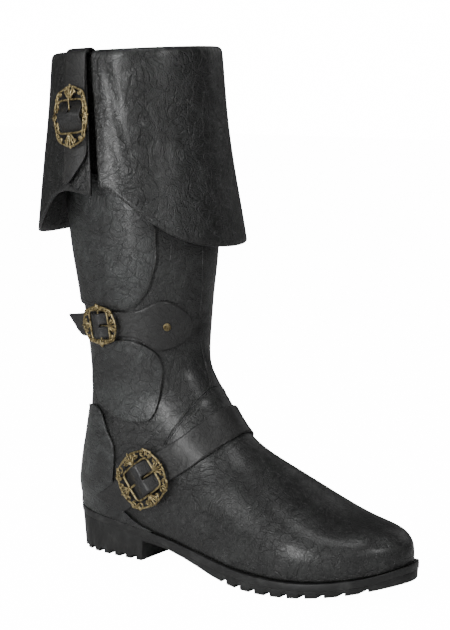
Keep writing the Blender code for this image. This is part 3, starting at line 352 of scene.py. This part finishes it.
# Upper. One soft leather shaft and vamp. It creases across the instep where the foot bends and
# slumps in soft rings at the ankle, and the leather puckers where the front seam meets the vamp.
upper = smoothed("upper", "upper_creased", SMOOTH_LEVELS, UPPER_LEATHER, "black_leather")
UPPER_FOLDS = (
    # start, middle, end, width, depth
    ((0.0950, 0.0120, 0.1420), (0.0930, -0.0080, 0.1400), (0.0840, -0.0250, 0.1360), 0.0032, 0.0014),
    ((0.1000, 0.0120, 0.1330), (0.0960, -0.0120, 0.1300), (0.0850, -0.0280, 0.1230), 0.0030, 0.0012),
    ((0.0860, 0.0100, 0.1540), (0.0850, -0.0100, 0.1520), (0.0780, -0.0240, 0.1490), 0.0034, 0.0010),
    ((0.0800, 0.0080, 0.1870), (0.0780, -0.0120, 0.1850), (0.0680, -0.0270, 0.1790), 0.0036, 0.0010),
    ((0.0790, 0.0060, 0.1960), (0.0780, -0.0090, 0.1950), (0.0700, -0.0240, 0.1960), 0.0030, 0.0008),
    ((0.0500, -0.0400, 0.1250), (0.0340, -0.0410, 0.1180), (0.0120, -0.0390, 0.1160), 0.0060, 0.0012),
    ((-0.0230, -0.0120, 0.1330), (-0.0200, -0.0280, 0.1280), (-0.0080, -0.0360, 0.1250), 0.0040, 0.0012),
    ((-0.0230, 0.0120, 0.1330), (-0.0200, 0.0280, 0.1280), (-0.0080, 0.0360, 0.1250), 0.0040, 0.0012),
    ((-0.0240, -0.0160, 0.1500), (-0.0200, 0.0000, 0.1470), (-0.0240, 0.0160, 0.1500), 0.0050, 0.0010),
    ((0.0950, 0.0080, 0.1400), (0.0880, 0.0240, 0.1370), (0.0700, 0.0360, 0.1300), 0.0040, 0.0012),
    ((0.0560, 0.0400, 0.1240), (0.0340, 0.0410, 0.1170), (0.0120, 0.0390, 0.1150), 0.0060, 0.0012),
)
for start, middle, end, width, depth in UPPER_FOLDS:
    press(upper, (start, middle, end), width, depth, leg_outward)
TOE_CREASES = (
    # start, middle, end, width, depth
    ((0.1560, -0.0380, 0.0520), (0.1610, 0.0000, 0.0790), (0.1580, 0.0380, 0.0520), 0.0060, 0.0007),
    ((0.1720, -0.0420, 0.0440), (0.1760, 0.0000, 0.0710), (0.1740, 0.0420, 0.0440), 0.0060, 0.0006),
)
for start, middle, end, width, depth in TOE_CREASES:
    press(upper, (start, middle, end), width, depth, foot_outward)


def surface_tree(*pieces):
    """Search tree over the finished meshes of some pieces."""
    points = []
    faces = []
    for piece in pieces:
        first = len(points)
        points += [vertex.co.copy() for vertex in piece.data.vertices]
        faces += [[first + k for k in polygon.vertices] for polygon in piece.data.polygons]
    return BVHTree.FromPolygons(points, faces)


def curve_piece(name, lines, radius, look, slot, *nodes, closed=False, sides=3):
    """Round cords along lines of points, as one mesh."""
    curve = bpy.data.curves.new(name, "CURVE")
    curve.dimensions = "3D"
    curve.bevel_depth = radius
    curve.bevel_resolution = sides
    curve.use_fill_caps = True
    for line in lines:
        spline = curve.splines.new("POLY")
        spline.points.add(len(line) - 1)
        for point, place in zip(spline.points, line):
            point.co = (*place, 1.0)
        spline.use_cyclic_u = closed
    holder = bpy.data.objects.new(name + "_path", curve)
    bpy.context.scene.collection.objects.link(holder)
    graph = bpy.context.evaluated_depsgraph_get()
    data = bpy.data.meshes.new_from_object(holder.evaluated_get(graph))
    bpy.data.objects.remove(holder, do_unlink=True)
    for polygon in data.polygons:
        polygon.use_smooth = True
    return add_object(name, data, look, slot, *nodes)


def even_line(line, step):
    """The line with its points evenly spaced and its corners rounded a little."""
    line = np.array(line, float)
    for _ in range(2):
        cut = [line[0]]
        for start, end in zip(line, line[1:]):
            cut += [start * 0.75 + end * 0.25, start * 0.25 + end * 0.75]
        line = np.array(cut + [line[-1]])
    length = np.concatenate([[0.0], np.cumsum(np.linalg.norm(np.diff(line, axis=0), axis=1))])
    at = np.linspace(0.0, length[-1], max(int(length[-1] / step), 2))
    return np.stack([np.interp(at, length, line[:, axis]) for axis in range(3)], axis=1)


def laid(tree, line, height):
    """The line's points moved to the nearest spot on a surface and raised off it."""
    out = []
    for point in line:
        spot, normal, _, _ = tree.find_nearest(Vector(point))
        out.append(np.array(spot + normal * height))
    return out


def shifted(tree, line, side):
    """The line moved sideways over the surface."""
    line = np.array(line)
    ahead = np.gradient(line, axis=0)
    out = []
    for point, along in zip(line, ahead):
        spot, normal, _, _ = tree.find_nearest(Vector(point))
        across = np.cross(np.array(normal), along)
        out.append(point + across / max(np.linalg.norm(across), 1e-9) * side)
    return out


def stitches(line, pitch, length):
    """Short lines, one for each stitch along a line of points."""
    line = np.array(line)
    total = np.concatenate([[0.0], np.cumsum(np.linalg.norm(np.diff(line, axis=0), axis=1))])
    out = []
    for start in np.arange(pitch / 2, total[-1] - length, pitch):
        at = start + np.array([0.0, 0.25, 0.75, 1.0]) * length
        out.append(np.stack([np.interp(at, total, line[:, axis]) for axis in range(3)], axis=1))
    return out


# Thread: waxed black polyester, a little lighter than the leather.
def thread():
    made, shader, place = new_material("waxed_thread")
    twist = place.via("ShaderNodeTexNoise", 0, vector=place, scale=2600.0, detail=1.0)
    plug(colour_mix(twist.ramp(0.4, 0.6), (0.020, 0.020, 0.019), (0.050, 0.050, 0.047)),
         shader, "Base Color")
    shader.inputs["Roughness"].default_value = 0.55
    return made


THREAD = thread()
STITCH_PITCH = 0.0030
STITCH_LENGTH = 0.0022
STITCH_RADIUS = 0.00026
STITCH_LIFT = 0.00005

# Front seam. Two rolled edges meet along the shin and split round the vamp's peak.
upper_tree = surface_tree(upper)
FRONT_SEAM = (
    (0.0815, -0.0055, 0.3000), (0.0825, -0.0054, 0.2600), (0.0815, -0.0050, 0.2330),
    (0.0790, -0.0022, 0.2110), (0.0778, -0.0030, 0.1970), (0.0771, -0.0020, 0.1774),
    (0.0781, 0.0012, 0.1643), (0.0824, 0.0017, 0.1522), (0.0893, -0.0052, 0.1401),
)
VAMP_SEAM_OUTER = (
    (0.0893, -0.0052, 0.1401), (0.0876, -0.0129, 0.1359), (0.0833, -0.0211, 0.1284),
    (0.0780, -0.0277, 0.1185), (0.0724, -0.0321, 0.1088), (0.0640, -0.0350, 0.0950),
)
VAMP_SEAM_INNER = (
    (0.0893, -0.0052, 0.1401), (0.0880, 0.0100, 0.1360), (0.0833, 0.0211, 0.1284),
    (0.0780, 0.0277, 0.1185), (0.0724, 0.0321, 0.1088), (0.0640, 0.0350, 0.0950),
)
SEAM_EDGE = 0.00085
SEAM_RADIUS = 0.00075
SEAM_SINK = 0.00028
SEAM_STITCHES_BESIDE = 3.2 * SEAM_EDGE
SEAM_STEP = 0.003
RIM_STEP = 0.0025
seam_lines = []
seam_stitches = []
for seam in (FRONT_SEAM, VAMP_SEAM_OUTER, VAMP_SEAM_INNER):
    middle = laid(upper_tree, even_line(seam, SEAM_STEP), 0.0)
    for side in (-SEAM_EDGE, SEAM_EDGE):
        seam_lines.append(laid(upper_tree, shifted(upper_tree, middle, side), -SEAM_SINK))
    beside = laid(upper_tree, shifted(upper_tree, middle, SEAM_STITCHES_BESIDE), 0.0)
    seam_stitches += stitches(beside, STITCH_PITCH, STITCH_LENGTH)
curve_piece("front_seam", seam_lines, SEAM_RADIUS, UPPER_LEATHER, "black_leather")
curve_piece("front_seam_stitches", seam_stitches, STITCH_RADIUS, THREAD, "black_leather", sides=1)


# Panels, counter and straps. Each is a cut piece of leather with a rounded edge and one or two
# rows of stitches just inside it, laid on the upper.
def rim_loops(node, facing):
    """Lines of points round the outer edges of a thin solid."""
    mesh = merged_copy(node)
    sharp = [edge for edge in mesh.edges
             if edge.is_manifold and edge.calc_face_angle() > RIM_ANGLE]
    outer = []
    for edge in sharp:
        broad = max(edge.link_faces, key=lambda face: face.calc_area())
        centre = broad.calc_center_median()
        if broad.normal.dot(facing(centre)) > 0:
            outer.append(edge)
    joined = {}
    for edge in outer:
        first, second = edge.verts
        joined.setdefault(first.index, []).append(second.index)
        joined.setdefault(second.index, []).append(first.index)
    mesh.verts.ensure_lookup_table()
    places = {index: np.array(mesh.verts[index].co) for index in joined}
    mesh.free()
    loops = []
    left = set(joined)
    while left:
        start = left.pop()
        loop = [start]
        current = start
        while True:
            onward = [index for index in joined[current] if index in left]
            if not onward:
                break
            current = onward[0]
            left.discard(current)
            loop.append(current)
        if len(loop) > 5:
            loops.append([places[index] for index in loop + [loop[0]]])
    return loops


def leg_facing(centre):
    return Vector((centre.x - LEG_MIDDLE, centre.y, 0.0))


def foot_facing(centre):
    ahead = min(max(centre.x, 0.0), FOOT_END)
    return Vector((centre.x - ahead, centre.y, centre.z - FOOT_MIDDLE_HEIGHT))


def edge_stitches(tree, node, facing, insets):
    """Rows of stitches round a piece, each inset from its edge."""
    lines = []
    for loop in rim_loops(node, facing):
        loop = even_line(loop, RIM_STEP)
        middle = loop.mean(axis=0)
        for inset in insets:
            one = np.array(shifted(tree, loop, inset))
            two = np.array(shifted(tree, loop, -inset))
            one_reach = np.linalg.norm(one - middle, axis=1).sum()
            two_reach = np.linalg.norm(two - middle, axis=1).sum()
            inner = one if one_reach < two_reach else two
            lines += stitches(laid(tree, inner, STITCH_LIFT), STITCH_PITCH, STITCH_LENGTH)
    curve_piece(node + "_stitches", lines, STITCH_RADIUS, THREAD, "strap_leather", sides=1)


PANELS = (
    # node, slot, look, facing, insets
    ("calf_panel_upper", "panel_leather", PANEL_LEATHER, leg_facing, (0.0022, 0.0048)),
    ("calf_panel_lower", "panel_leather", PANEL_LEATHER, leg_facing, (0.0022,)),
    ("heel_counter", "panel_leather", PANEL_LEATHER, leg_facing, (0.0022,)),
    ("calf_strap", "strap_leather", STRAP_LEATHER, leg_facing, (0.0020,)),
    ("ankle_strap", "strap_leather", STRAP_LEATHER, foot_facing, (0.0020,)),
    ("cuff_strap", "strap_leather", STRAP_LEATHER, leg_facing, (0.0020,)),
)
for node, slot, look, facing, insets in PANELS:
    piece = smoothed(node, node + "_leather", SMOOTH_LEVELS, look, slot)
    edge_stitches(surface_tree(piece), node, facing, insets)

# Cuff. A turned-down band of heavier leather: its fold is soft, the skirt waves a little round
# the leg and long slanting creases run down it from the fold.
cuff = smoothed("cuff", "cuff_folded", SMOOTH_LEVELS, CUFF_LEATHER, "cuff_leather", 0.75)
points, normals = vertex_arrays(cuff.data)
turn = np.arctan2(points[:, 1], points[:, 0] - LEG_MIDDLE)
down = np.clip((SHAFT_HEIGHT - points[:, 2]) / CUFF_DEPTH, 0.0, 1.0)
wave = np.sin(3.0 * turn + 0.6) * 0.0012 + np.sin(7.0 * turn + 1.9) * 0.0006
points += leg_outward(points) * (wave * down ** 1.3)[:, None]
cuff.data.vertices.foreach_set("co", points.ravel())
cuff.data.update()
CUFF_FOLDS = (
    # start, end, width, depth
    ((0.010, -0.062, 0.372), (0.022, -0.068, 0.300), 0.0035, 0.0006),
    ((0.030, -0.060, 0.384), (0.052, -0.058, 0.318), 0.0035, 0.0006),
    ((0.036, -0.060, 0.335), (0.058, -0.058, 0.272), 0.0040, 0.0007),
    ((0.058, -0.046, 0.378), (0.076, -0.040, 0.310), 0.0035, 0.0006),
    ((0.072, -0.032, 0.350), (0.094, -0.022, 0.285), 0.0040, 0.0007),
    ((0.080, 0.010, 0.372), (0.096, 0.004, 0.290), 0.0040, 0.0006),
    ((-0.030, -0.050, 0.370), (-0.050, -0.048, 0.300), 0.0040, 0.0006),
    ((-0.048, 0.000, 0.372), (-0.064, 0.008, 0.290), 0.0040, 0.0006),
    ((0.000, 0.062, 0.372), (-0.014, 0.068, 0.290), 0.0040, 0.0006),
    ((0.050, 0.054, 0.372), (0.062, 0.058, 0.290), 0.0040, 0.0006),
)
for start, end, width, depth in CUFF_FOLDS:
    press(cuff, (start, end), width, depth, leg_outward)


# Sole. Moulded rubber with rounded edges: outsole and heel in one, a midsole with its top lip.
def edged(node, name, look, slot, width, segments, angle):
    mesh = merged_copy(node)
    bmesh.ops.recalc_face_normals(mesh, faces=mesh.faces)
    sharp = [edge for edge in mesh.edges
             if edge.is_manifold and edge.calc_face_angle() > math.radians(angle)]
    bmesh.ops.bevel(mesh, geom=sharp, offset=width, offset_type="OFFSET", segments=segments,
                    profile=0.5, affect="EDGES", clamp_overlap=True, material=-1)
    data = bpy.data.meshes.new(name)
    mesh.to_mesh(data)
    mesh.free()
    data.shade_smooth()
    data.set_sharp_from_angle(angle=SHADING_ANGLE)
    return add_object(name, data, look, slot, node)


edged("outsole", "outsole_moulded", SOLE_RUBBER, "sole_rubber", 0.00045, 2, 40)
edged("midsole", "midsole_moulded", WELT_RUBBER, "welt_rubber", 0.0010, 3, 50)
edged("insole", "insole_covered", insole_cloth(), "insole_board", 0.0006, 2, 50)


# Buckles. Cast frames of antique brass: a rounded window rim inside a scalloped outer rim, with
# paired curls at the corners, beads between them and a small leaf at the middle of each side.
def frame_axes(node):
    """Middle and the three directions of a flat piece, longest first."""
    points, _ = vertex_arrays(NODES[node].data)
    middle = (points.min(axis=0) + points.max(axis=0)) / 2
    _, _, axes = np.linalg.svd(points - points.mean(axis=0), full_matrices=False)
    normal = axes[2] if axes[2] @ np.array([0.0, -1.0, 0.0]) > 0 else -axes[2]
    along = axes[0]
    across = np.cross(normal, along)
    local = (points - middle) @ np.stack([along, across, normal], axis=1)
    middle = middle + np.stack([along, across, normal]).T @ ((local.max(axis=0) + local.min(axis=0)) / 2)
    half = (local.max(axis=0) - local.min(axis=0)) / 2
    return middle, along, across, normal, half


CURLS = (
    # length share, width share, size, start turn, turns
    (0.80, 0.62, 0.62, 0.10, 1.35),
    (0.62, 0.84, 0.58, 0.65, -1.30),
    (0.90, 0.24, 0.52, 0.30, 1.20),
    (0.26, 0.92, 0.50, 0.55, -1.20),
)
LEAF_RAYS = 5
FRAME_POINTS = 72
SCALLOPS = 8
SCALLOP_DEPTH = 0.022
RIM_RADIUS = 0.0009
CURL_POINTS = 26
CURL_CLOSING = 0.72
CURL_RADIUS = 0.00062
CURL_INSET = 2.6 * RIM_RADIUS
LEAF_POINTS = 6
LEAF_FAN = 1.9
LEAF_RADIUS = 0.00072
BEADS = 20
BEAD_RADIUS = 0.00105
BEAD_SHARE = 0.52
BAR_RADIUS = 0.0010


def scroll_buckle(node, name, window_length, window_width):
    middle, along, across, normal, half = frame_axes(node)
    rail_length = half[0] - window_length
    rail_width = half[1] - window_width

    def place(x, y, z):
        return middle + along * x + across * y + normal * z

    def rounded(length, width, squareness, scallop):
        line = []
        for k in range(FRAME_POINTS):
            turn = 2 * math.pi * k / FRAME_POINTS
            wave = 1.0 + scallop * math.cos(SCALLOPS * turn)
            x = length * math.copysign(abs(math.cos(turn)) ** (2 / squareness), math.cos(turn))
            y = width * math.copysign(abs(math.sin(turn)) ** (2 / squareness), math.sin(turn))
            line.append(place(x * wave, y * wave, 0.0))
        return line

    slot = "antique_brass"
    inner_rim = rounded(window_length + RIM_RADIUS, window_width + RIM_RADIUS, 7.0, 0.0)
    curve_piece(name + "_inner_rim", [inner_rim], RIM_RADIUS, BRASS, slot, closed=True)
    outer_rim = rounded(half[0] - 2 * RIM_RADIUS, half[1] - 2 * RIM_RADIUS, 2.6, SCALLOP_DEPTH)
    curve_piece(name + "_outer_rim", [outer_rim], RIM_RADIUS, BRASS, slot, closed=True)
    curls = []
    for x_share, y_share, size, start, turns in CURLS:
        radius = size * min(rail_length, rail_width) / 2
        for x_sign in (-1, 1):
            for y_sign in (-1, 1):
                line = []
                for k in range(CURL_POINTS):
                    share = k / (CURL_POINTS - 1)
                    angle = 2 * math.pi * (start + turns * share)
                    reach = radius * (1.0 - CURL_CLOSING * share)
                    x = (x_share * (half[0] - CURL_INSET) + reach * math.cos(angle)) * x_sign
                    y = (y_share * (half[1] - CURL_INSET) + reach * math.sin(angle)) * y_sign
                    line.append(place(x, y, 0.0003 + 0.0006 * share))
                curls.append(line)
    curve_piece(name + "_curls", curls, CURL_RADIUS, BRASS, slot)
    rays = []
    for x_sign, y_sign in ((1, 0), (-1, 0), (0, 1), (0, -1)):
        for ray in range(LEAF_RAYS):
            spread = (ray - (LEAF_RAYS - 1) / 2) / (LEAF_RAYS - 1) * LEAF_FAN
            base = np.array([x_sign * (window_length + RIM_RADIUS), y_sign * (window_width + RIM_RADIUS)])
            reach = (rail_length if x_sign else rail_width) * (0.95 - 0.28 * abs(spread))
            turn = math.atan2(y_sign, x_sign) + spread * 0.75
            tip = base + reach * np.array([math.cos(turn), math.sin(turn)])
            line = []
            for k in range(LEAF_POINTS):
                share = k / (LEAF_POINTS - 1)
                spot = base * (1 - share) + tip * share
                line.append(place(*spot, 0.0004 + 0.0009 * math.sin(math.pi * share)))
            rays.append(line)
    curve_piece(name + "_leaves", rays, LEAF_RADIUS, BRASS, slot)
    beads = bmesh.new()
    for k in range(BEADS):
        turn = 2 * math.pi * (k + 0.5) / BEADS
        x = (window_length + rail_length * BEAD_SHARE) * math.copysign(
            abs(math.cos(turn)) ** 0.6, math.cos(turn))
        y = (window_width + rail_width * BEAD_SHARE) * math.copysign(
            abs(math.sin(turn)) ** 0.6, math.sin(turn))
        made = bmesh.ops.create_icosphere(beads, subdivisions=2, radius=BEAD_RADIUS)
        bmesh.ops.translate(beads, verts=made["verts"], vec=Vector(place(x, y, 0.0003)))
    data = bpy.data.meshes.new(name + "_beads")
    beads.to_mesh(data)
    beads.free()
    data.shade_smooth()
    add_object(name + "_beads", data, BRASS, slot)
    bar = [place(0.0, y * (window_width + RIM_RADIUS), -0.0002) for y in (-1.0, -0.5, 0.0, 0.5, 1.0)]
    curve_piece(name + "_bar", [bar], BAR_RADIUS, BRASS, slot, node)


BUCKLES = (
    # name, window half length, window half width
    ("cuff", 0.0116, 0.0124),
    ("calf", 0.0095, 0.0109),
    ("ankle", 0.0120, 0.0137),
)
for name, window_length, window_width in BUCKLES:
    scroll_buckle(name + "_buckle", name + "_frame", window_length, window_width)
    smoothed(name + "_prong", name + "_prong_cast", 1, BRASS, "antique_brass", 0.0)
smoothed("strap_rivet", "strap_rivet_head", SMOOTH_LEVELS, BRASS, "antique_brass", 0.3)

# Floor, soft studio light and camera.
FLOOR_HALF_SIDE = 6.0
FLOOR_GLOW = 15.0
SKY_LIGHT = 0.07
SKY_SHOWN = 15.9
floor_mesh = bmesh.new()
bmesh.ops.create_grid(floor_mesh, x_segments=2, y_segments=2, size=FLOOR_HALF_SIDE)
floor_data = bpy.data.meshes.new("floor")
floor_mesh.to_mesh(floor_data)
floor_mesh.free()
floor = bpy.data.objects.new("floor", floor_data)
bpy.context.scene.collection.objects.link(floor)
floor_look, floor_shader, _ = new_material("pale_floor")
floor_shader.inputs["Base Color"].default_value = (0.93, 0.93, 0.93, 1.0)
floor_shader.inputs["Roughness"].default_value = 0.95
floor_shader.inputs["Specular IOR Level"].default_value = 0.0
floor_shader.inputs["Emission Color"].default_value = (1.0, 1.0, 1.0, 1.0)
floor_seen = Shade(
    floor_look.node_tree, floor_look.node_tree.nodes.new("ShaderNodeLightPath").outputs["Is Camera Ray"])
plug(FLOOR_GLOW * floor_seen, floor_shader, "Emission Strength")
floor_data.materials.append(floor_look)

world = bpy.data.worlds.new("studio")
world.use_nodes = True
bpy.context.scene.world = world
sky = world.node_tree.nodes["Background"]
seen = Shade(world.node_tree, world.node_tree.nodes.new("ShaderNodeLightPath").outputs["Is Camera Ray"])
sky.inputs["Color"].default_value = (1.0, 1.0, 1.0, 1.0)
plug(SKY_LIGHT + SKY_SHOWN * seen, sky, "Strength")


def soft_box(name, place, target, size, power):
    light = bpy.data.lights.new(name, "AREA")
    light.shape = "RECTANGLE"
    light.size, light.size_y = size
    light.energy = power
    made = bpy.data.objects.new(name, light)
    bpy.context.scene.collection.objects.link(made)
    made.location = place
    made.rotation_mode = "QUATERNION"
    made.rotation_quaternion = (Vector(target) - Vector(place)).to_track_quat("-Z", "Y")


BOOT_MIDDLE = (0.08, 0.0, 0.20)
soft_box("key_strip", (-0.02, -1.50, 0.42), BOOT_MIDDLE, (0.10, 1.10), 15.0)
soft_box("side_box", (-0.95, -1.25, 0.95), BOOT_MIDDLE, (0.35, 0.90), 5.0)
soft_box("top_box", (0.30, -0.45, 1.60), BOOT_MIDDLE, (0.60, 0.50), 6.0)
soft_box("toe_box", (1.35, -0.75, 0.95), (0.22, -0.02, 0.06), (0.30, 0.40), 7.0)
soft_box("rim_box", (0.40, 1.40, 0.90), BOOT_MIDDLE, (1.00, 0.80), 2.0)

camera_data = bpy.data.cameras.new("camera")
camera_data.lens = 99.07
camera = bpy.data.objects.new("camera", camera_data)
camera.location = (0.84890341, -1.07279336, 0.39356914)
camera.rotation_euler = (math.radians(81.408), 0.0, math.radians(35.012))
bpy.context.scene.collection.objects.link(camera)
bpy.context.scene.camera = camera
